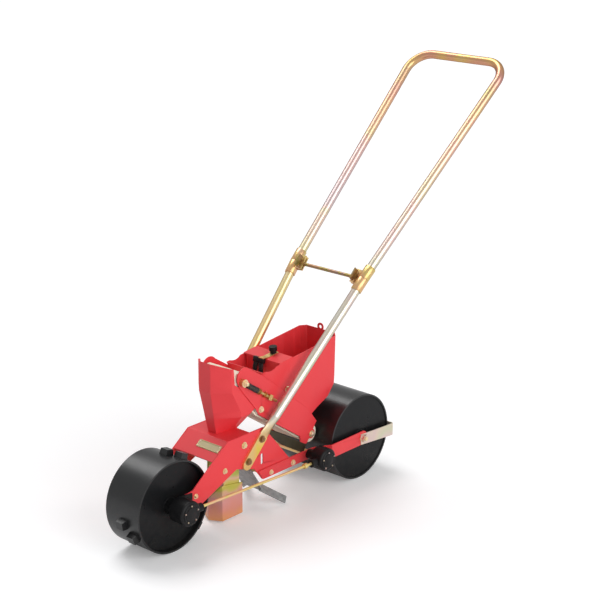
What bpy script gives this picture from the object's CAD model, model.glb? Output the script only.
# %% [markdown]
# # A walk-behind vegetable seeder
# The machine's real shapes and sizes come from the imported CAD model. This lesson adds what CAD leaves
# out: enamel, plating, plastic and rubber finishes, rounded sheet edges, the fasteners, the gear case
# covers, the brush's bristles, the springs of the belt tensioners, and a plain bright studio.

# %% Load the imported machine
import math

import bmesh
import bpy
from mathutils import Matrix, Vector


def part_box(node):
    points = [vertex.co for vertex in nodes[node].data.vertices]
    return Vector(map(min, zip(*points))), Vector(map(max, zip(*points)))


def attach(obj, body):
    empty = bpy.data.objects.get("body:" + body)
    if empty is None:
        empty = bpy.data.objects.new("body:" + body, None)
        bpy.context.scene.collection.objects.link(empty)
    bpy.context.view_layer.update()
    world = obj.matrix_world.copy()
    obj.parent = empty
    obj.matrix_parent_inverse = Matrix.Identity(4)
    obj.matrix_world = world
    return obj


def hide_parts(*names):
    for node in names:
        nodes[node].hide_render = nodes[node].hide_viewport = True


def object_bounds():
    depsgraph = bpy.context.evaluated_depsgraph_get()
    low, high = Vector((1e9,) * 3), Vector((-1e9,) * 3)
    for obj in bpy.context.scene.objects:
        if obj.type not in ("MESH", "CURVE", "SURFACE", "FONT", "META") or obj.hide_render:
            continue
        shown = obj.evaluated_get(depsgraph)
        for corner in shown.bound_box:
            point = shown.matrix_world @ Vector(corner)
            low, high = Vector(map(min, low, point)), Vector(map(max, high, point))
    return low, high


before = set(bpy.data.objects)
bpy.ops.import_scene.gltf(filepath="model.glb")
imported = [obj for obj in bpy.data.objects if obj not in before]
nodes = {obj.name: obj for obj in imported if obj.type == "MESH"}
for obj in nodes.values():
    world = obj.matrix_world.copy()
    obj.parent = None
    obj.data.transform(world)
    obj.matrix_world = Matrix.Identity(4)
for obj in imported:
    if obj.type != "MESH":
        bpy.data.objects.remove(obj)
scene = bpy.context.scene
cad_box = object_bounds()
MM = 0.001
print("nodes", len(nodes), "CAD box", [tuple(round(c, 3) for c in corner) for corner in cad_box])

# %% [markdown]
# Places on the machine are easiest to read as millimetres behind the front axle, to the left, and above
# the floor. The axle's own place is taken from the frame, so that the numbers follow the CAD model.

# %% A point on the machine
front_axle_x = (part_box("front_axle")[0][0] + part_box("front_axle")[1][0]) / 2


def spot(back, y, z):
    """A point in metres from millimetres behind the front axle, to the left and up."""
    return Vector((front_axle_x - back * MM, y * MM, z * MM))


def outer_face(node):
    """How far left a CAD node reaches, in millimetres."""
    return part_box(node)[1][1] / MM


BAR_T = 3  # sheet of the roller's bars, in mm
FOOT_T = 5  # flattened foot of the handle's tube, in mm
PLATE_FACE = outer_face("side_plate_left")
UNIT_FACE = outer_face("belt_plate_left")
BAR_FACE = PLATE_FACE + BAR_T
FOOT_FACE = PLATE_FACE + FOOT_T
EYE_FACE = outer_face("belt_tensioner_left")
print("front axle at", round(front_axle_x, 3), "faces", PLATE_FACE, UNIT_FACE, EYE_FACE)

# %% [markdown]
# The camera stands where the photograph was taken from: high on the machine's left, in front of it. Its
# place, direction and focal length came from the wheels' outlines. A long lens keeps the lines almost
# parallel, as in a catalogue picture.

# %% Camera
IMAGE_PX = 600
FOCAL_PX = 1601
YAW = math.radians(41.895)
PITCH = math.radians(17.825)
CAMERA_AT = (2.5067, 2.2355, 1.5064)
SENSOR_MM = 36
lens = bpy.data.cameras.new("camera")
lens.sensor_width = SENSOR_MM
lens.lens = FOCAL_PX / IMAGE_PX * lens.sensor_width
lens.clip_end = 100
camera = bpy.data.objects.new("camera", lens)
scene.collection.objects.link(camera)
looking = Vector((-math.cos(YAW) * math.cos(PITCH), -math.sin(YAW) * math.cos(PITCH), -math.sin(PITCH)))
camera.location = CAMERA_AT
camera.rotation_mode = "QUATERNION"
camera.rotation_quaternion = looking.to_track_quat("-Z", "Y")
scene.camera = camera
print("lens", round(lens.lens, 1), "mm")

# %% [markdown]
# Every finish below is a node tree, and a few effects come back in several of them: soft mottling, the
# colours of a plating bath, and dust that thickens towards the ground. Each finish could carry its own
# copy of these nodes. Instead, each effect is built once as a shader node group with named sockets, so
# that a finish only has to state its own values.


# %% Small helpers for node trees
def add_node(tree, kind, inputs=None, **settings):
    """Adds a node; an input takes a value, or a socket to link from."""
    made = tree.nodes.new(kind)
    for name, value in settings.items():
        setattr(made, name, value)
    for name, value in (inputs or {}).items():
        if isinstance(value, bpy.types.NodeSocket):
            tree.links.new(value, made.inputs[name])
        else:
            made.inputs[name].default_value = value
    return made


def add_sockets(tree, inputs, outputs):
    """Gives a node group its sockets. Inputs are (name, kind, default), outputs (name, kind)."""
    for label, kind, default in inputs:
        socket = tree.interface.new_socket(label, in_out="INPUT", socket_type="NodeSocket" + kind)
        if default is not None:
            socket.default_value = default
    for label, kind in outputs:
        tree.interface.new_socket(label, in_out="OUTPUT", socket_type="NodeSocket" + kind)
    return tree.nodes.new("NodeGroupInput").outputs, tree.nodes.new("NodeGroupOutput").inputs


def mix_colour(tree, factor, low, high):
    """The colour socket of a mix of two colours."""
    made = add_node(tree, "ShaderNodeMix", {"Factor": factor, 6: low, 7: high}, data_type="RGBA")
    return made.outputs[2]


def ramp_node(tree, source, stops):
    """A colour ramp with stops of (position, colour)."""
    made = add_node(tree, "ShaderNodeValToRGB", {"Fac": source})
    elements = made.color_ramp.elements
    while len(elements) < len(stops):
        elements.new(0.5)
    for element, (position, colour) in zip(elements, stops):
        element.position = position
        element.color = (*colour, 1)
    return made.outputs["Color"]


# %% Mottling, for paint, plastic and plate
mottle = bpy.data.node_groups.new("mottle", "ShaderNodeTree")
given, result = add_sockets(
    mottle,
    [
        ("Scale", "Float", 12.0),
        ("Low", "Color", (0, 0, 0, 1)),
        ("High", "Color", (1, 1, 1, 1)),
        ("Rough Low", "Float", 0.3),
        ("Rough High", "Float", 0.5),
    ],
    [("Color", "Color"), ("Roughness", "Float")],
)
place = add_node(mottle, "ShaderNodeTexCoord").outputs["Object"]
broad = add_node(mottle, "ShaderNodeTexNoise", {"Vector": place, "Scale": given["Scale"], "Detail": 4.0})
rough = add_node(
    mottle,
    "ShaderNodeMapRange",
    {
        "Value": broad.outputs["Fac"],
        "From Min": 0.3,
        "From Max": 0.7,
        "To Min": given["Rough Low"],
        "To Max": given["Rough High"],
    },
)
mottle.links.new(mix_colour(mottle, broad.outputs["Fac"], given["Low"], given["High"]), result["Color"])
mottle.links.new(rough.outputs["Result"], result["Roughness"])
print("group", mottle.name)

# %% Dust that thickens towards the ground
dust = bpy.data.node_groups.new("ground_dust", "ShaderNodeTree")
given, result = add_sockets(
    dust,
    [
        ("Color", "Color", (0.5, 0.5, 0.5, 1)),
        ("Dust Color", "Color", (0.42, 0.36, 0.29, 1)),
        ("Height", "Float", 0.12),
        ("Amount", "Float", 0.3),
    ],
    [("Color", "Color")],
)
place = add_node(dust, "ShaderNodeTexCoord").outputs["Object"]
height = add_node(dust, "ShaderNodeSeparateXYZ", {"Vector": place}).outputs["Z"]
near_ground = add_node(
    dust,
    "ShaderNodeMapRange",
    {"Value": height, "From Min": 0.0, "From Max": given["Height"], "To Min": given["Amount"], "To Max": 0.0},
)
specks = add_node(
    dust, "ShaderNodeTexNoise", {"Vector": place, "Scale": 55.0, "Detail": 6.0, "Roughness": 0.7}
).outputs["Fac"]
patches = add_node(dust, "ShaderNodeMapRange", {"Value": specks, "From Min": 0.42, "From Max": 0.72})
share = add_node(
    dust,
    "ShaderNodeMath",
    {0: near_ground.outputs["Result"], 1: patches.outputs["Result"]},
    operation="MULTIPLY",
)
dust.links.new(mix_colour(dust, share.outputs[0], given["Color"], given["Dust Color"]), result["Color"])
print("group", dust.name)

# %% [markdown]
# Zinc plate that has been passivated yellow shows oil-film colours: a film of varying thickness over
# bright metal. A colour ramp over a slow noise gives the bands of gold, pink, lime and lilac. The noise
# is drawn out along the height, because the parts hang and drain upright after the bath.

# %% Oil-film tints of passivated zinc
film = bpy.data.node_groups.new("zinc_film", "ShaderNodeTree")
given, result = add_sockets(
    film,
    [
        ("Scale", "Float", 9.0),
        ("Strength", "Float", 0.6),
        ("Bare", "Color", (0.80, 0.78, 0.74, 1)),
    ],
    [("Color", "Color"), ("Roughness", "Float"), ("Height", "Float")],
)
FILM_STOPS = (
    (0.00, (0.74, 0.62, 0.40)),
    (0.20, (0.86, 0.58, 0.20)),
    (0.38, (0.84, 0.40, 0.30)),
    (0.52, (0.88, 0.54, 0.24)),
    (0.66, (0.60, 0.62, 0.12)),
    (0.80, (0.84, 0.46, 0.38)),
    (1.00, (0.62, 0.48, 0.60)),
)
place = add_node(film, "ShaderNodeTexCoord").outputs["Object"]
drained = add_node(film, "ShaderNodeMapping", {"Vector": place, "Scale": (1.0, 1.0, 0.6)}).outputs["Vector"]
swirl = add_node(
    film, "ShaderNodeTexNoise", {"Vector": drained, "Scale": given["Scale"], "Detail": 1.5, "Distortion": 0.5}
).outputs["Fac"]
spread = add_node(film, "ShaderNodeMapRange", {"Value": swirl, "From Min": 0.28, "From Max": 0.72})
tints = ramp_node(film, spread.outputs["Result"], FILM_STOPS)
grain = add_node(film, "ShaderNodeTexNoise", {"Vector": place, "Scale": 420.0, "Detail": 2.0}).outputs["Fac"]
rough = add_node(film, "ShaderNodeMapRange", {"Value": grain, "To Min": 0.26, "To Max": 0.36})
film.links.new(mix_colour(film, given["Strength"], given["Bare"], tints), result["Color"])
film.links.new(rough.outputs["Result"], result["Roughness"])
film.links.new(grain, result["Height"])
print("group", film.name, "with", len(FILM_STOPS), "tints")

# %% [markdown]
# A finish is a Principled BSDF with the groups in front of it. Numbers that stay the same all over the
# surface, such as the coat's roughness, are set on the shader itself, because an exported model keeps
# them only there. Short helpers do the wiring, so that each finish below reads as a list of its values.


# %% A new finish with its shader
def new_finish(name, **constants):
    """A material with a Principled BSDF; constants are set on the shader's own sockets."""
    material = bpy.data.materials.new(name)
    material.use_nodes = True
    tree = material.node_tree
    shader = tree.nodes["Principled BSDF"]
    for socket, value in constants.items():
        shader.inputs[socket.replace("_", " ")].default_value = value
    return material, tree, shader


def use_group(tree, group, **values):
    """Places a shader group; underscores in the names stand for spaces."""
    made = add_node(tree, "ShaderNodeGroup", node_tree=group)
    for name, value in values.items():
        socket = made.inputs[name.replace("_", " ")]
        if isinstance(value, bpy.types.NodeSocket):
            tree.links.new(value, socket)
        else:
            socket.default_value = value
    return made


PEEL_DEPTH = 0.0006
GRAIN_DEPTH = 0.0004


def fine_bump(tree, shader, height, strength, distance):
    """Feeds a height to the shader's normal."""
    bump = add_node(tree, "ShaderNodeBump", {"Height": height, "Strength": strength, "Distance": distance})
    tree.links.new(bump.outputs["Normal"], shader.inputs["Normal"])


def noise_height(tree, scale):
    """A fine noise on Object coordinates, as a height."""
    place = add_node(tree, "ShaderNodeTexCoord").outputs["Object"]
    noise = add_node(tree, "ShaderNodeTexNoise", {"Vector": place, "Scale": scale, "Detail": 2.0})
    return noise.outputs["Fac"]


def mottled(tree, shader, scale, low, high, rough_span):
    """Mottling between two colours: feeds the shader's roughness and returns the colour."""
    smooth, dull = rough_span
    coat = use_group(
        tree, mottle, Scale=scale, Low=(*low, 1), High=(*high, 1), Rough_Low=smooth, Rough_High=dull
    )
    tree.links.new(coat.outputs["Roughness"], shader.inputs["Roughness"])
    return coat.outputs["Color"]


def soiled(tree, shader, colour, height, amount):
    """Feeds a colour to the shader through the dust."""
    dusted = use_group(tree, dust, Color=colour, Height=height, Amount=amount)
    tree.links.new(dusted.outputs["Color"], shader.inputs["Base Color"])


# %% [markdown]
# The sheet metal is sprayed with red enamel: a clean saturated colour, a little orange peel and a low,
# broad gloss. A plain colour would look like plastic, so the mottling varies the gloss from place to
# place and a fine noise gives the peel. Dust only shows near the ground, where the wheel throws it.

# %% Red enamel
red_enamel, tree, shader = new_finish(
    "red_enamel", Specular_IOR_Level=0.30, Coat_Weight=0.08, Coat_Roughness=0.15
)
enamel = mottled(tree, shader, 7.0, (0.76, 0.040, 0.052), (0.86, 0.056, 0.064), (0.32, 0.46))
soiled(tree, shader, enamel, 0.14, 0.14)
fine_bump(tree, shader, noise_height(tree, 260.0), 0.08, PEEL_DEPTH)
print("finish", red_enamel.name)

# %% [markdown]
# The wheel and roller are moulded in black, smooth enough to mirror the lamps in a soft band. The gear
# cases and the knob are a finer, duller plastic. The strap under the belt is black, but worn brown. All
# of them need the same nodes with other values, so they come from one table.

# %% Black finishes
BLACKS = (  # name, gloss level, mottling scale, low and high colour, low and high roughness, grain, dust
    ("black_drum", 0.50, 16.0, (0.005, 0.006, 0.007), (0.011, 0.011, 0.012), (0.27, 0.36), 180.0, 0.03),
    ("black_disc", 0.16, 16.0, (0.005, 0.006, 0.007), (0.011, 0.011, 0.012), (0.24, 0.38), 180.0, 0.03),
    ("moulded_black", 0.20, 40.0, (0.006, 0.006, 0.007), (0.012, 0.012, 0.013), (0.30, 0.46), 900.0, 0.02),
    ("black_worn", 0.35, 60.0, (0.016, 0.013, 0.008), (0.060, 0.046, 0.020), (0.40, 0.60), 500.0, 0.05),
    ("black_steel", 0.40, 30.0, (0.020, 0.020, 0.021), (0.060, 0.060, 0.062), (0.34, 0.50), 700.0, 0.0),
)
black = {}
for name, gloss, scale, low, high, rough_span, grain_scale, dusty in BLACKS:
    black[name], tree, shader = new_finish(name, Specular_IOR_Level=gloss)
    soiled(tree, shader, mottled(tree, shader, scale, low, high, rough_span), 0.20, dusty)
    fine_bump(tree, shader, noise_height(tree, grain_scale), 0.12, PEEL_DEPTH)
print("finishes", sorted(black))

# %% [markdown]
# One bath plates many parts, yet each leaves it with its own tint. The scraper, the axles and the bolts
# are pale, the drive shafts and the clamps are gold, and the tie rod with its wing bolts is the darkest.
# The film group gives them all their tints, and each row of the table mixes in its own bare metal.

# %% Plated finishes
PLATES = (  # name, metallic, swirl scale, share of tint, bare metal, bump
    ("sheet_zinc", 0.60, 9.0, 0.35, (0.72, 0.68, 0.67), 0.03),
    ("rich_plate", 0.35, 13.0, 0.95, (0.80, 0.70, 0.46), 0.01),
    ("gold_plate", 0.60, 9.0, 0.35, (0.98, 0.72, 0.30), 0.05),
    ("clamp_gold", 0.70, 20.0, 0.35, (0.70, 0.46, 0.20), 0.05),
    ("dark_plate", 0.80, 30.0, 0.22, (0.20, 0.125, 0.05), 0.06),
    ("bolt_zinc", 0.70, 40.0, 0.25, (0.92, 0.76, 0.50), 0.05),
    ("bright_zinc", 0.80, 40.0, 0.35, (0.78, 0.74, 0.70), 0.05),
    ("dull_zinc", 0.80, 60.0, 0.30, (0.36, 0.35, 0.34), 0.05),
)
plate = {}
for name, metallic, scale, share, bare, bump in PLATES:
    plate[name], tree, shader = new_finish(name, Metallic=metallic)
    bath = use_group(tree, film, Scale=scale, Strength=share, Bare=(*bare, 1))
    tree.links.new(bath.outputs["Color"], shader.inputs["Base Color"])
    tree.links.new(bath.outputs["Roughness"], shader.inputs["Roughness"])
    fine_bump(tree, shader, bath.outputs["Height"], bump, GRAIN_DEPTH)
print("finishes", sorted(plate))

# %% [markdown]
# The handle's tube hung in the bath at full length, so its tint changes along the height: gold at the
# feet, pale in the middle and rose gold at the grip. The right leg stays gold higher up than the left.
# At a slant the film mirrors less than bare metal does. The shader's own Specular Tint, which colours a
# metal's reflection near its edges, is dark for that, and gives the tube its dull outlines.

# %% Handle plate
FOOT_STOPS = ((0.00, (1.00, 0.68, 0.08)), (0.18, (1.00, 0.70, 0.12)))  # share of the height, colour
LEFT_STOPS = ((0.25, (0.74, 0.74, 0.72)), (0.50, (0.70, 0.71, 0.68)), (0.58, (0.74, 0.65, 0.67)))
RIGHT_STOPS = ((0.40, (0.92, 0.76, 0.36)), (0.52, (0.84, 0.74, 0.46)), (0.60, (0.76, 0.68, 0.62)))
GRIP_STOPS = (
    (0.74, (0.76, 0.56, 0.50)),
    (0.88, (0.76, 0.46, 0.32)),
    (0.955, (0.34, 0.20, 0.26)),
    (0.98, (0.44, 0.25, 0.11)),
)
EDGE_TINT = (0.10, 0.06, 0.08, 1)
HANDLE_TOP = cad_box[1][2]
SIDE_BLEND = 0.05  # metres to the left and right over which one leg's tint turns into the other's
GRIP_SPAN = (0.90, 0.97)  # share of the height over which the film thickens
FILM_SPAN = (0.30, 0.62)
handle_plate, tree, shader = new_finish("handle_plate", Metallic=0.85, Specular_Tint=EDGE_TINT)
place = add_node(tree, "ShaderNodeTexCoord").outputs["Object"]
parts = add_node(tree, "ShaderNodeSeparateXYZ", {"Vector": place}).outputs
share_up = add_node(
    tree, "ShaderNodeMapRange", {"Value": parts["Z"], "From Max": HANDLE_TOP}
).outputs["Result"]
on_left = add_node(
    tree, "ShaderNodeMapRange", {"Value": parts["Y"], "From Min": -SIDE_BLEND, "From Max": SIDE_BLEND}
)
left_tint = ramp_node(tree, share_up, FOOT_STOPS + LEFT_STOPS + GRIP_STOPS)
right_tint = ramp_node(tree, share_up, FOOT_STOPS + RIGHT_STOPS + GRIP_STOPS)
tint = mix_colour(tree, on_left.outputs["Result"], right_tint, left_tint)
strength = add_node(
    tree,
    "ShaderNodeMapRange",
    {
        "Value": share_up,
        "From Min": GRIP_SPAN[0],
        "From Max": GRIP_SPAN[1],
        "To Min": FILM_SPAN[0],
        "To Max": FILM_SPAN[1],
    },
).outputs["Result"]
bath = use_group(tree, film, Scale=7.0, Strength=strength, Bare=tint)
tree.links.new(bath.outputs["Color"], shader.inputs["Base Color"])
tree.links.new(bath.outputs["Roughness"], shader.inputs["Roughness"])
fine_bump(tree, shader, bath.outputs["Height"], 0.03, GRAIN_DEPTH)
print("finish", handle_plate.name)

# %% [markdown]
# The opener and its bracket show the bath's colours as level bands, because they hung upright while the
# film grew. The film group's noise would give patches. So their ramp runs over the height, with a little
# noise added, so that the bands wander.

# %% Banded plate of the opener
BAND_STOPS = (
    (0.00, (0.82, 0.36, 0.14)),
    (0.22, (0.80, 0.32, 0.24)),
    (0.44, (0.80, 0.36, 0.34)),
    (0.55, (0.76, 0.48, 0.26)),
    (0.62, (0.58, 0.56, 0.08)),
    (0.70, (0.70, 0.58, 0.14)),
    (0.80, (0.82, 0.54, 0.38)),
    (0.92, (0.52, 0.60, 0.12)),
)
BANDS_TOP = 0.12
BAND_SWING = 0.22
banded_plate, tree, shader = new_finish("banded_plate", Metallic=0.30, Roughness=0.32)
place = add_node(tree, "ShaderNodeTexCoord").outputs["Object"]
wander = add_node(tree, "ShaderNodeTexNoise", {"Vector": place, "Scale": 26.0, "Detail": 1.0}).outputs["Fac"]
swing = add_node(
    tree, "ShaderNodeMapRange", {"Value": wander, "To Min": -BAND_SWING, "To Max": BAND_SWING}
).outputs["Result"]
height = add_node(tree, "ShaderNodeSeparateXYZ", {"Vector": place}).outputs["Z"]
level = add_node(tree, "ShaderNodeMapRange", {"Value": height, "From Max": BANDS_TOP}).outputs["Result"]
moved = add_node(tree, "ShaderNodeMath", {0: level, 1: swing}, operation="ADD").outputs[0]
tree.links.new(ramp_node(tree, moved, BAND_STOPS), shader.inputs["Base Color"])
fine_bump(tree, shader, noise_height(tree, 420.0), 0.02, GRAIN_DEPTH)
print("finish", banded_plate.name, "with", len(BAND_STOPS), "bands")

# %% [markdown]
# The coverer is dark sheet with a faint spangle, which the cells of a Voronoi texture give. The
# tensioners and the strap over the hopper are brass, the blank plate is a soft gold metal, and the
# pulleys are nylon. They differ only in colour and gloss, so they share a table. The seed belt is woven
# and coated. Threads would be too fine to model, so a wave texture gives it the relief of a weave.

# %% Dark sheet, brass, gold label and belt
dark_sheet, tree, shader = new_finish("dark_sheet", Metallic=0.45, Roughness=0.45)
place = add_node(tree, "ShaderNodeTexCoord").outputs["Object"]
spangle = add_node(tree, "ShaderNodeTexVoronoi", {"Vector": place, "Scale": 160.0}).outputs["Color"]
flakes = ramp_node(tree, spangle, ((0.0, (0.26, 0.27, 0.27)), (1.0, (0.44, 0.45, 0.45))))
tree.links.new(flakes, shader.inputs["Base Color"])
fine_bump(tree, shader, noise_height(tree, 300.0), 0.1, GRAIN_DEPTH)

SOFT = (  # name, metallic, mottling scale, low and high colour, low and high roughness
    ("drawn_brass", 0.9, 60.0, (0.50, 0.34, 0.12), (0.74, 0.55, 0.24), (0.25, 0.45)),
    ("label_gold", 0.6, 90.0, (0.46, 0.36, 0.14), (0.66, 0.58, 0.34), (0.30, 0.50)),
    ("label_face", 0.5, 60.0, (0.29, 0.24, 0.12), (0.50, 0.43, 0.27), (0.35, 0.55)),
    ("pale_nylon", 0.0, 30.0, (0.76, 0.71, 0.60), (0.84, 0.80, 0.70), (0.40, 0.55)),
    ("bristle", 0.0, 300.0, (0.010, 0.010, 0.011), (0.030, 0.028, 0.027), (0.45, 0.65)),
)
soft = {}
for name, metallic, scale, low, high, rough_span in SOFT:
    soft[name], tree, shader = new_finish(name, Metallic=metallic)
    tree.links.new(mottled(tree, shader, scale, low, high, rough_span), shader.inputs["Base Color"])
    fine_bump(tree, shader, noise_height(tree, 700.0), 0.08, GRAIN_DEPTH)

cream_belt, tree, shader = new_finish("cream_belt", Specular_IOR_Level=0.3)
cream = mottled(tree, shader, 30.0, (0.84, 0.74, 0.56), (0.92, 0.85, 0.70), (0.55, 0.75))
tree.links.new(cream, shader.inputs["Base Color"])
place = add_node(tree, "ShaderNodeTexCoord").outputs["Object"]
weave = add_node(
    tree, "ShaderNodeTexWave", {"Vector": place, "Scale": 220.0, "Distortion": 0.5}, bands_direction="Y"
)
fine_bump(tree, shader, weave.outputs["Fac"], 0.15, GRAIN_DEPTH)
print("finishes", dark_sheet.name, sorted(soft), cream_belt.name)

# %% [markdown]
# Each CAD piece now gets its finish. Pieces of one kind share the start of their names, so the table
# lists those starts, and the longest one that fits a name decides.

# %% Which finish each CAD piece takes
FINISHES = (  # finish, how the names of its pieces start
    (red_enamel, ("side_plate", "front_web", "rear_bar", "belt_plate", "hopper", "seed_chute")),
    (black["black_drum"], ("front_wheel", "rear_roller")),
    (black["black_disc"], ("wheel_disc", "roller_end")),
    (black["moulded_black"], ("front_gear_case", "rear_gear_case", "brush_knob", "seed_brush")),
    (black["black_worn"], ("unit_strap",)),
    (handle_plate, ("handle",)),
    (plate["sheet_zinc"], ("roller_scraper",)),
    (banded_plate, ("opener",)),
    (plate["rich_plate"], ("opener_cross", "coverer_cross")),
    (plate["gold_plate"], ("drive_shaft", "belt_drive")),
    (plate["clamp_gold"], ("handle_clamp",)),
    (plate["dark_plate"], ("tie_rod", "wing_bolt")),
    (plate["bright_zinc"], ("front_axle", "rear_axle")),
    (dark_sheet, ("coverer",)),
    (soft["drawn_brass"], ("brush_strap", "belt_tensioner")),
    (soft["pale_nylon"], ("front_pulley", "rear_pulley", "belt_idler")),
    (soft["label_face"], ("blank_plate",)),
    (cream_belt, ("seed_belt",)),
)
for name, node in nodes.items():
    fits = [(len(stem), finish) for finish, stems in FINISHES for stem in stems if name.startswith(stem)]
    finish = max(fits, key=lambda fit: fit[0])[1]
    node.data.materials.clear()
    node.data.materials.append(finish)
print("dressed", len(nodes), "CAD nodes")

# %% [markdown]
# A folded or cut sheet never has a knife edge, and a rounded edge is what catches the light along every
# outline. The CAD mesh is loose triangles, so a Weld joins them first. Then a small Bevel rounds every
# sharp edge. Both stay live, so that the CAD mesh itself isn't touched.

# %% Rounded edges
ROUNDED = (  # how the names start, radius in mm
    ("side_plate", 0.7),
    ("front_web", 0.9),
    ("rear_bar", 0.7),
    ("belt_plate", 0.6),
    ("hopper", 0.6),
    ("seed_chute", 0.6),
    ("opener", 0.6),
    ("handle_clamp", 0.8),
    ("wheel_disc", 0.9),
    ("roller_end", 0.9),
    ("coverer", 0.5),
    ("unit_strap", 0.6),
    ("blank_plate", 0.3),
    ("brush_strap", 0.4),
    ("roller_scraper", 0.5),
)
WELD_GAP = 0.01 * MM
BEND = math.radians(35)
rounded = []
for name, node in nodes.items():
    for stem, radius in ROUNDED:
        if not name.startswith(stem) or name.endswith("cross_rod"):
            continue
        weld = node.modifiers.new("join", "WELD")
        weld.merge_threshold = WELD_GAP
        edge = node.modifiers.new("edges", "BEVEL")
        edge.width = radius * MM
        edge.segments = 2
        edge.limit_method = "ANGLE"
        edge.angle_limit = BEND
        edge.harden_normals = True
        rounded.append(name)
        break
print("rounded", len(rounded), "nodes")

# %% [markdown]
# Screws, nuts and rivets repeat, so one Geometry Nodes tree makes them all. It reads points that carry
# two attributes, the way the head faces and its size. On each point it sets a washer, a head with its
# chamfer and, for a nut, the end of the stud. A fixed seed turns the hexagons at random.


# %% Points that carry an aim and a size
def places(name, rows):
    """A mesh of loose points from rows of (point, aim, size)."""
    mesh = bpy.data.meshes.new(name)
    mesh.from_pydata([row[0] for row in rows], [], [])
    mesh.attributes.new("aim", "FLOAT_VECTOR", "POINT")
    mesh.attributes.new("size", "FLOAT", "POINT")
    mesh.attributes["aim"].data.foreach_set("vector", [part for row in rows for part in row[1]])
    mesh.attributes["size"].data.foreach_set("value", [row[2] for row in rows])
    return mesh


def grow(name, tree, base, **values):
    """Runs a Geometry Nodes tree on a mesh and returns its result as a plain object."""
    holder = bpy.data.objects.new(name + "_points", base)
    scene.collection.objects.link(holder)
    modifier = holder.modifiers.new("grow", "NODES")
    modifier.node_group = tree
    for item in tree.interface.items_tree:
        key = item.name.replace(" ", "_")
        if item.item_type == "SOCKET" and item.in_out == "INPUT" and key in values:
            modifier[item.identifier] = values[key]
    depsgraph = bpy.context.evaluated_depsgraph_get()
    mesh = bpy.data.meshes.new_from_object(holder.evaluated_get(depsgraph))
    bpy.data.objects.remove(holder)
    for attribute in ("aim", "size"):
        if attribute in mesh.attributes:
            mesh.attributes.remove(mesh.attributes[attribute])
    mesh.materials.clear()
    mesh.materials.append(values["Material"])
    mesh.polygons.foreach_set("material_index", [0] * len(mesh.polygons))
    return finished(name, mesh)


SHARP = math.radians(40)


def finished(name, mesh):
    """Links a mesh as a plain object at the origin, smooth except at its sharp edges."""
    mesh.name = name
    mesh.shade_smooth()
    mesh.set_sharp_from_angle(angle=SHARP)
    made = bpy.data.objects.new(name, mesh)
    scene.collection.objects.link(made)
    return made


def geometry_tree(name, inputs):
    """A Geometry Nodes tree with named inputs of (name, kind, default); returns it with its ends."""
    tree = bpy.data.node_groups.new(name, "GeometryNodeTree")
    given, result = add_sockets(tree, [("Points", "Geometry", None), *inputs], [("Geometry", "Geometry")])
    return tree, given, result


def point_value(tree, name, kind):
    """The socket of a named point attribute."""
    made = add_node(tree, "GeometryNodeInputNamedAttribute", {"Name": name}, data_type=kind)
    return made.outputs["Attribute"]


def joined(tree, *sockets):
    """The socket of several geometries joined into one."""
    made = tree.nodes.new("GeometryNodeJoinGeometry")
    for socket in sockets:
        tree.links.new(socket, made.inputs[0])
    return made.outputs[0]


def random_value(tree, low, high, seed):
    """The socket of a random number per point."""
    made = add_node(tree, "FunctionNodeRandomValue", {2: low, 3: high})
    tree.links.new(tree.nodes.new("GeometryNodeInputIndex").outputs[0], made.inputs["ID"])
    tree.links.new(seed, made.inputs["Seed"])
    return made.outputs[1]


def raised(tree, socket, height):
    """A geometry lifted along Z by a height socket."""
    lift = add_node(tree, "ShaderNodeCombineXYZ", {"Z": height}).outputs[0]
    return add_node(tree, "GeometryNodeTransform", {"Geometry": socket, "Translation": lift}).outputs[0]


def faced(tree):
    """The rotation that turns Z to a point's aim."""
    aim = point_value(tree, "aim", "FLOAT_VECTOR")
    return add_node(tree, "FunctionNodeAlignRotationToVector", {"Vector": aim}, axis="Z").outputs[0]


def painted(tree, socket, material):
    """Instances made real and given their material."""
    real = add_node(tree, "GeometryNodeRealizeInstances", {0: socket}).outputs[0]
    return add_node(tree, "GeometryNodeSetMaterial", {0: real, "Material": material}).outputs[0]


# %% The fastener tree
fastener, given, result = geometry_tree(
    "fastener",
    [
        ("Sides", "Int", 6),
        ("Head Radius", "Float", 0.0065),
        ("Head Height", "Float", 0.0042),
        ("Chamfer", "Float", 0.0010),
        ("Washer Radius", "Float", 0.0090),
        ("Washer Height", "Float", 0.0014),
        ("Stud Radius", "Float", 0.0030),
        ("Stud Height", "Float", 0.0010),
        ("Seed", "Int", 3),
        ("Material", "Material", None),
    ],
)
ROUND_SIDES = 20


def stub(sides, bottom, top, depth):
    """A capped cone or cylinder standing on its base."""
    made = add_node(
        fastener,
        "GeometryNodeMeshCone",
        {"Vertices": sides, "Radius Bottom": bottom, "Radius Top": top, "Depth": depth},
        fill_type="NGON",
    )
    return made.outputs["Mesh"]


def summed(first, second, operation="ADD"):
    """The socket of two numbers added or subtracted."""
    return add_node(fastener, "ShaderNodeMath", {0: first, 1: second}, operation=operation).outputs[0]


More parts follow.
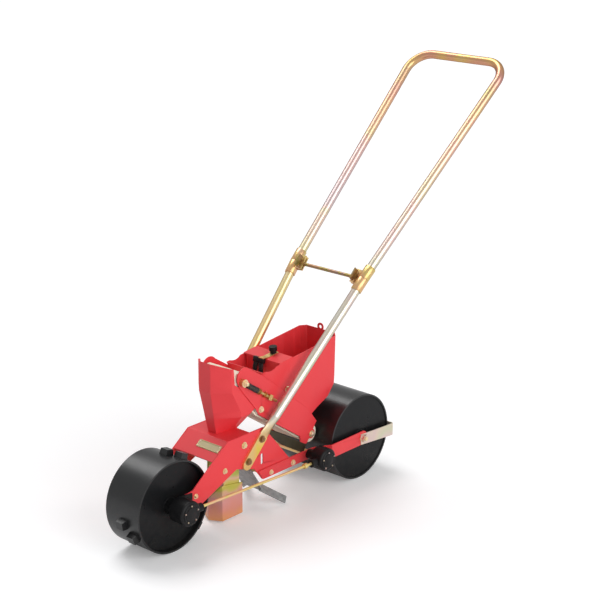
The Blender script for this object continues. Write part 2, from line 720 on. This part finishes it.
washer = stub(ROUND_SIDES, given["Washer Radius"], given["Washer Radius"], given["Washer Height"])
head = stub(given["Sides"], given["Head Radius"], given["Head Radius"], given["Head Height"])
crown_top = summed(given["Head Radius"], given["Chamfer"], "SUBTRACT")
crown = stub(given["Sides"], given["Head Radius"], crown_top, given["Chamfer"])
stud = stub(ROUND_SIDES, given["Stud Radius"], given["Stud Radius"], given["Stud Height"])
head_top = summed(given["Washer Height"], given["Head Height"])
crown_height = summed(head_top, given["Chamfer"])
whole = joined(
    fastener,
    washer,
    raised(fastener, head, given["Washer Height"]),
    raised(fastener, crown, head_top),
    raised(fastener, stud, crown_height),
)
twist = add_node(
    fastener,
    "FunctionNodeAxisAngleToRotation",
    {"Axis": (0, 0, 1), "Angle": random_value(fastener, 0.0, math.tau, given["Seed"])},
)
turned_way = add_node(
    fastener,
    "FunctionNodeRotateRotation",
    {"Rotation": faced(fastener), "Rotate By": twist.outputs[0]},
    rotation_space="LOCAL",
)
set_on = add_node(
    fastener,
    "GeometryNodeInstanceOnPoints",
    {
        "Points": given["Points"],
        "Instance": whole,
        "Rotation": turned_way.outputs[0],
        "Scale": point_value(fastener, "size", "FLOAT"),
    },
)
fastener.links.new(painted(fastener, set_on.outputs[0], given["Material"]), result["Geometry"])
print("tree", fastener.name, "with", len(fastener.nodes), "nodes")

# %% [markdown]
# The bolts hold the plates, the bars and the handle's feet on both sides. Their places follow no rule
# that a node tree could find, so they are listed: each row gives a place behind the axle, a height, the
# face the bolt sits on and its size. The right side mirrors the left.

# %% Bolts and nuts of the frame
HOPPER_FACE = 50.6
ZINC_BOLTS = (  # back, height, face, size
    (50, 111, PLATE_FACE, 0.65),
    (136, 139, PLATE_FACE, 0.72),
    (195, 179, PLATE_FACE, 0.84),
    (275, 92, BAR_FACE, 0.65),
    (345, 92, BAR_FACE, 0.74),
    (341, 262, HOPPER_FACE, 0.75),
    (256, 240, UNIT_FACE, 0.82),
    (419, 134, UNIT_FACE, 0.90),
)
FOOT_BOLTS = (  # back, height, face, size
    (203, 140, FOOT_FACE, 0.90),
    (245, 179, FOOT_FACE, 0.90),
)


def both_sides(rows):
    """Rows of (point, aim, size) for the left side and its mirror image."""
    left = [(spot(back, face, z), (0, 1, 0), size) for back, z, face, size in rows]
    right = [(spot(back, -face, z), (0, -1, 0), size) for back, z, face, size in rows]
    return left + right


for name, table, finish in (
    ("zinc_bolts", ZINC_BOLTS, plate["bolt_zinc"]),
    ("foot_bolts", FOOT_BOLTS, plate["dark_plate"]),
):
    bolts = grow(name, fastener, places(name + "_places", both_sides(table)), Material=finish)
    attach(bolts, "frame")
    print(name, 2 * len(table), "faces", len(bolts.data.polygons))

# %% [markdown]
# Nuts close the ends of the roller's axle and of the front pulley's. Both stand still, because the
# roller turns on its axle and the pulley's axle is clamped between the belt plates. The fastener tree
# makes them too, with a thicker and longer stud.

# %% Shaft nuts
ROLLER_AXLE = (541, 99.5)
BAR_END_FACE = outer_face("rear_bar_left")
FRONT_PULLEY = (198, 318)
shaft_rows = both_sides(
    (
        (*ROLLER_AXLE, BAR_END_FACE, 1.2),
        (*FRONT_PULLEY, EYE_FACE, 0.95),
    )
)
shaft_nuts = grow(
    "shaft_nuts",
    fastener,
    places("shaft_nut_places", shaft_rows),
    Stud_Radius=0.0042,
    Stud_Height=0.0030,
    Seed=11,
    Material=plate["bolt_zinc"],
)
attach(shaft_nuts, "frame")
print("shaft nuts", len(shaft_rows))

# %% [markdown]
# Each gear case is a casting closed by a turned cover, held by a ring of small bright screws. The cover
# is a short profile spun round the case's axis, with a step that gives the screws a flange.


# %% Turned pieces
TURN_STEPS = 48


def turned(name, profile, centre, aim):
    """A profile of (radius, height) in millimetres, spun round an axis through a point."""
    shape = bmesh.new()
    rim = [shape.verts.new((radius * MM, 0, height * MM)) for radius, height in profile]
    for one, two in zip(rim, rim[1:]):
        shape.edges.new((one, two))
    bmesh.ops.spin(
        shape,
        geom=shape.verts[:] + shape.edges[:],
        cent=(0, 0, 0),
        axis=(0, 0, 1),
        angle=math.tau,
        steps=TURN_STEPS,
        use_merge=True,
    )
    bmesh.ops.remove_doubles(shape, verts=shape.verts, dist=0.000001)
    bmesh.ops.recalc_face_normals(shape, faces=shape.faces)
    turn = Vector(aim).to_track_quat("Z", "Y").to_matrix().to_4x4()
    bmesh.ops.transform(shape, matrix=Matrix.Translation(centre) @ turn, verts=shape.verts)
    mesh = bpy.data.meshes.new(name)
    shape.to_mesh(mesh)
    shape.free()
    return finished(name, mesh)


# %% Gear case covers and their screws
FLANGE = 1.6
COVER_PROFILE = (  # radius, height
    (0, 3.4),
    (9, 3.4),
    (11, 2.6),
    (15.5, 2.6),
    (16, FLANGE),
    (20.5, FLANGE),
    (21.3, 0.9),
    (21.3, -0.5),
)
SCREW_RING = 18.2
SCREWS = 5
FIRST_SCREW = 0.25  # share of a step
BELT_DRIVE = (398, 96)
CASES = (  # name, back, height, face
    ("front_case_cover", 0, 100, outer_face("front_gear_case")),
    ("rear_case_cover", *BELT_DRIVE, outer_face("rear_gear_case")),
)
screw_rows = []
for name, back, z, face in CASES:
    cover = turned(name, COVER_PROFILE, spot(back, face, z), (0, 1, 0))
    cover.data.materials.append(black["moulded_black"])
    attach(cover, "frame")
    for step in range(SCREWS):
        angle = math.tau * (step + FIRST_SCREW) / SCREWS
        place = spot(back + SCREW_RING * math.cos(angle), face + FLANGE, z + SCREW_RING * math.sin(angle))
        screw_rows.append((place, (0, 1, 0), 1.0))
case_screws = grow(
    "case_screws",
    fastener,
    places("case_screw_places", screw_rows),
    Sides=12,
    Head_Radius=0.0017,
    Head_Height=0.0008,
    Chamfer=0.0006,
    Washer_Radius=0.0019,
    Washer_Height=0.0002,
    Stud_Radius=0.0004,
    Stud_Height=0.0001,
    Seed=5,
    Material=plate["dull_zinc"],
)
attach(case_screws, "frame")
print("covers", len(CASES), "screws", len(screw_rows))

# %% [markdown]
# A belt tensioner is a brass screw that pulls the front pulley's eye, with a black coil spring between
# two nuts. The spring is a spiral curve swept with a small circle. Its tree takes the turns, the radius
# and the wire as named inputs.

# %% The spring tree
spring, given, result = geometry_tree(
    "spring",
    [
        ("Turns", "Float", 9.0),
        ("Radius", "Float", 0.0052),
        ("Length", "Float", 0.0350),
        ("Wire Radius", "Float", 0.0011),
        ("Steps", "Int", 18),
        ("Material", "Material", None),
    ],
)
coil = add_node(
    spring,
    "GeometryNodeCurveSpiral",
    {
        "Resolution": given["Steps"],
        "Rotations": given["Turns"],
        "Start Radius": given["Radius"],
        "End Radius": given["Radius"],
        "Height": given["Length"],
    },
)
WIRE_SIDES = 8
wire = add_node(
    spring, "GeometryNodeCurvePrimitiveCircle", {"Resolution": WIRE_SIDES, "Radius": given["Wire Radius"]}
)
swept = add_node(
    spring,
    "GeometryNodeCurveToMesh",
    {"Curve": coil.outputs[0], "Profile Curve": wire.outputs[0], "Fill Caps": True},
)
set_on = add_node(
    spring,
    "GeometryNodeInstanceOnPoints",
    {"Points": given["Points"], "Instance": swept.outputs[0], "Rotation": faced(spring)},
)
spring.links.new(painted(spring, set_on.outputs[0], given["Material"]), result["Geometry"])
print("tree", spring.name, "with", len(spring.nodes), "nodes")

# %% Springs and nuts on the tensioners
TENSION_END = (300, 248)
TENSION_Y = 57
run = (Vector(TENSION_END) - Vector(FRONT_PULLEY)).normalized()
screw_way = (-run.x, 0, run.y)


def along_screw(distance, side):
    """A point on a tensioner's screw, in millimetres from the pulley's centre."""
    back, z = Vector(FRONT_PULLEY) + run * distance
    return spot(back, side * TENSION_Y, z)


SPRING_AT = 16
NUTS_AT = (52, 59, 79)
NUT_SIZE = 0.75
spring_rows = [(along_screw(SPRING_AT, side), screw_way, 1.0) for side in (1, -1)]
springs = grow("tension_springs", spring, places("spring_places", spring_rows), Material=black["black_steel"])
nut_rows = [(along_screw(at, side), screw_way, NUT_SIZE) for side in (1, -1) for at in NUTS_AT]
tension_nuts = grow(
    "tension_nuts",
    fastener,
    places("tension_nut_places", nut_rows),
    Stud_Height=0.0002,
    Seed=7,
    Material=soft["drawn_brass"],
)
for piece, slot in ((springs, "black_plastic"), (tension_nuts, "brass")):
    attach(piece, "frame")
print("springs", len(spring_rows), "nuts", len(nut_rows))

# %% [markdown]
# The brush levels the seed on the belt. Its bristles stand in two splayed tufts below a holder. Each
# tuft's root point is copied many times, scattered over the holder and given a thin cone. The seed is
# fixed, so the brush always comes out the same.

# %% The bristle tree
bristles, given, result = geometry_tree(
    "bristles",
    [
        ("Count", "Int", 120),
        ("Spread", "Vector", (0.003, 0.005, 0.0)),
        ("Length", "Float", 0.03),
        ("Wire Radius", "Float", 0.0004),
        ("Splay", "Float", 0.10),
        ("Seed", "Int", 2),
        ("Material", "Material", None),
    ],
)


def random_vector(low, high, seed):
    """The socket of a random vector per point."""
    made = add_node(
        bristles, "FunctionNodeRandomValue", {0: low, 1: high, "Seed": seed}, data_type="FLOAT_VECTOR"
    )
    bristles.links.new(bristles.nodes.new("GeometryNodeInputIndex").outputs[0], made.inputs["ID"])
    return made.outputs[0]


def scaled_vector(vector, factor):
    """The socket of a vector times a number."""
    made = add_node(bristles, "ShaderNodeVectorMath", {0: vector, "Scale": factor}, operation="SCALE")
    return made.outputs[0]


copies = add_node(
    bristles,
    "GeometryNodeDuplicateElements",
    {"Geometry": given["Points"], "Amount": given["Count"]},
    domain="POINT",
)
scatter = random_vector(scaled_vector(given["Spread"], -1.0), given["Spread"], given["Seed"])
roots = add_node(
    bristles, "GeometryNodeSetPosition", {"Geometry": copies.outputs["Geometry"], "Offset": scatter}
)
next_seed = add_node(bristles, "ShaderNodeMath", {0: given["Seed"], 1: 1.0}, operation="ADD").outputs[0]
lean = scaled_vector(random_vector((-1, -1, 0), (1, 1, 0), next_seed), given["Splay"])
way = add_node(bristles, "ShaderNodeVectorMath", {0: point_value(bristles, "aim", "FLOAT_VECTOR"), 1: lean})
facing = add_node(bristles, "FunctionNodeAlignRotationToVector", {"Vector": way.outputs[0]}, axis="Z")
HAIR_SIDES = 5
HAIR_TIP = 0.0002
hair = add_node(
    bristles,
    "GeometryNodeMeshCone",
    {
        "Vertices": HAIR_SIDES,
        "Radius Bottom": given["Wire Radius"],
        "Radius Top": HAIR_TIP,
        "Depth": given["Length"],
    },
)
set_on = add_node(
    bristles,
    "GeometryNodeInstanceOnPoints",
    {"Points": roots.outputs[0], "Instance": hair.outputs["Mesh"], "Rotation": facing.outputs[0]},
)
bristles.links.new(painted(bristles, set_on.outputs[0], given["Material"]), result["Geometry"])
print("tree", bristles.name, "with", len(bristles.nodes), "nodes")

# %% The brush and its holder
low, high = (Vector(corner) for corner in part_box("seed_brush"))
HOLDER_H = 10 * MM
HOLDER_LAP = 2 * MM  # how far the holder grips the bristles
HOLDER_ROUND = 1.2 * MM
BLOCK_T = 8 * MM
middle_y = (low.y + high.y) / 2
top_centre = Vector((low.x + BLOCK_T / 2, middle_y, high.z))
foot_centre = Vector((high.x - BLOCK_T / 2, middle_y, low.z))
lean_way = (foot_centre - top_centre).normalized()
root_centre = top_centre + lean_way * HOLDER_H
TUFT_OUT = 7.5 * MM
TUFT_SPLAY = 0.05
tuft_rows = []
for side in (1, -1):
    aim = (lean_way + Vector((0, side * TUFT_SPLAY, 0))).normalized()
    tuft_rows.append((root_centre + Vector((0, side * TUFT_OUT, 0)), aim, 1.0))
TUFT_COUNT = 120
brush_hair = grow(
    "brush_hair",
    bristles,
    places("tuft_places", tuft_rows),
    Count=TUFT_COUNT,
    Length=(foot_centre - root_centre).length,
    Material=soft["bristle"],
)
holder = bmesh.new()
bmesh.ops.create_cube(holder, size=1)
bmesh.ops.scale(holder, vec=(BLOCK_T, high.y - low.y, HOLDER_H + HOLDER_LAP), verts=holder.verts)
bmesh.ops.bevel(holder, geom=holder.edges[:], offset=HOLDER_ROUND, segments=3, affect="EDGES", profile=0.5)
upright = Matrix.Rotation(math.atan2(-lean_way.x, -lean_way.z), 4, "Y")
middle = top_centre + lean_way * (HOLDER_H / 2)
bmesh.ops.transform(holder, matrix=Matrix.Translation(middle) @ upright, verts=holder.verts)
holder_mesh = bpy.data.meshes.new("brush_holder")
holder.to_mesh(holder_mesh)
holder.free()
brush_holder = finished("brush_holder", holder_mesh)
brush_holder.data.materials.append(black["moulded_black"])
for piece in (brush_hair, brush_holder):
    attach(piece, "frame")
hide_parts("seed_brush")
print("bristles", len(tuft_rows) * TUFT_COUNT, "faces", len(brush_hair.data.polygons))

# %% [markdown]
# The plate on the front web is blank, pressed with a bead round its edge and held by four rivets. The
# bead is a wire swept along the plate's own face, whose corners are read from the CAD mesh.


# %% Bent wires
def bent_wire(name, points, radius):
    """A closed round wire through points, as a plain mesh."""
    curve = bpy.data.curves.new(name, "CURVE")
    curve.dimensions = "3D"
    curve.bevel_depth = radius * MM
    curve.bevel_resolution = 2
    line = curve.splines.new("POLY")
    line.points.add(len(points) - 1)
    for point, place in zip(line.points, points):
        point.co = (*place, 1)
    line.use_cyclic_u = True
    holder = bpy.data.objects.new(name + "_curve", curve)
    scene.collection.objects.link(holder)
    depsgraph = bpy.context.evaluated_depsgraph_get()
    mesh = bpy.data.meshes.new_from_object(holder.evaluated_get(depsgraph))
    bpy.data.objects.remove(holder)
    return finished(name, mesh)


# %% Bead and rivets of the blank plate
label = nodes["blank_plate"]
front_faces = [face for face in label.data.polygons if face.normal.x > 0.3]
facing_front = max(front_faces, key=lambda face: face.area).normal.copy()
across = Vector((0, 1, 0))
upwards = facing_front.cross(across).normalized()
corners = [label.data.vertices[index].co.copy() for face in front_faces for index in face.vertices]
reach_y = [corner.dot(across) for corner in corners]
reach_up = [corner.dot(upwards) for corner in corners]
depth = max(corner.dot(facing_front) for corner in corners)


def on_label(inset, side, rise):
    """A point on the label's face, an inset in millimetres from one of its corners."""
    y = (max(reach_y) - inset * MM) if side > 0 else (min(reach_y) + inset * MM)
    up = (max(reach_up) - inset * MM) if rise > 0 else (min(reach_up) + inset * MM)
    return across * y + upwards * up + facing_front * depth


CORNER_SIGNS = ((1, 1), (-1, 1), (-1, -1), (1, -1))
BEAD_INSET = 1.4
BEAD_RADIUS = 1.0
RIVET_INSET = 4.0
label_bead = bent_wire("label_bead", [on_label(BEAD_INSET, *signs) for signs in CORNER_SIGNS], BEAD_RADIUS)
label_bead.data.materials.append(soft["label_gold"])
rivet_rows = [(on_label(RIVET_INSET, *signs), facing_front, 1.0) for signs in CORNER_SIGNS]
label_rivets = grow(
    "label_rivets",
    fastener,
    places("rivet_places", rivet_rows),
    Sides=14,
    Head_Radius=0.0014,
    Head_Height=0.0003,
    Chamfer=0.0006,
    Washer_Radius=0.0015,
    Washer_Height=0.0001,
    Stud_Radius=0.0002,
    Stud_Height=0.0001,
    Material=plate["bright_zinc"],
)
for piece in (label_bead, label_rivets):
    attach(piece, "frame")
print("label faces", facing_front[:], "rivets", len(rivet_rows))

# %% [markdown]
# The studio is a wide pale floor under an even white sky, with one broad lamp from the machine's left
# and one high on its right. A sun lamp with a large angle gives soft shadows, and lights the far floor as
# much as the near one, so that the floor runs into the white background. The camera sees the floor and
# the sky a little brighter than they light the machine, which keeps the paper white without more light.

# %% Floor, sky and lamps
scene.view_settings.view_transform = "Standard"
FLOOR_HALF = 30
floor_mesh = bpy.data.meshes.new("floor")
floor_corners = [(x * FLOOR_HALF, y * FLOOR_HALF, 0) for x, y in ((-1, -1), (1, -1), (1, 1), (-1, 1))]
floor_mesh.from_pydata(floor_corners, [], [(0, 1, 2, 3)])
floor = bpy.data.objects.new("floor", floor_mesh)
scene.collection.objects.link(floor)
paper, tree, shader = new_finish(
    "paper", Roughness=0.9, Base_Color=(0.90, 0.90, 0.91, 1), Specular_IOR_Level=0.1
)
shader.inputs["Emission Color"].default_value = (1.0, 1.0, 1.0, 1)
PAPER_GLOW = 0.20
seen = add_node(tree, "ShaderNodeLightPath").outputs["Is Camera Ray"]
glow = add_node(tree, "ShaderNodeMath", {0: seen, 1: PAPER_GLOW}, operation="MULTIPLY")
tree.links.new(glow.outputs[0], shader.inputs["Emission Strength"])
floor_mesh.materials.append(paper)

SKY = 0.36
world = bpy.data.worlds.new("studio")
world.use_nodes = True
scene.world = world
tree = world.node_tree
backdrop = tree.nodes["Background"]
backdrop.inputs["Color"].default_value = (1, 1, 1, 1)
rays = add_node(tree, "ShaderNodeLightPath").outputs
GLOSSY_SHARE = 0.35
mirrored = add_node(
    tree, "ShaderNodeMath", {0: rays["Is Glossy Ray"], 1: GLOSSY_SHARE}, operation="MULTIPLY"
).outputs[0]
through = add_node(
    tree, "ShaderNodeMath", {0: mirrored, 1: rays["Is Transmission Ray"]}, operation="MAXIMUM"
).outputs[0]
seen = add_node(tree, "ShaderNodeMath", {0: through, 1: rays["Is Camera Ray"]}, operation="MAXIMUM")
level = add_node(tree, "ShaderNodeMapRange", {"Value": seen.outputs[0], "To Min": SKY, "To Max": 1.0})
tree.links.new(level.outputs["Result"], backdrop.inputs["Strength"])

LAMPS = (  # name, where the light comes from, strength, angle in degrees
    ("left_side", (0.06, 0.92, 0.38), 1.55, 50),
    ("overhead", (-0.12, -0.48, 0.87), 1.5, 36),
)
for name, source, strength, angle in LAMPS:
    lamp = bpy.data.lights.new(name, "SUN")
    lamp.energy = strength
    lamp.angle = math.radians(angle)
    holder = bpy.data.objects.new(name, lamp)
    holder.rotation_mode = "QUATERNION"
    holder.rotation_quaternion = (-Vector(source)).to_track_quat("-Z", "Y")
    scene.collection.objects.link(holder)
print("lamps", [row[0] for row in LAMPS])

# %% Hand over
bpy.context.view_layer.update()
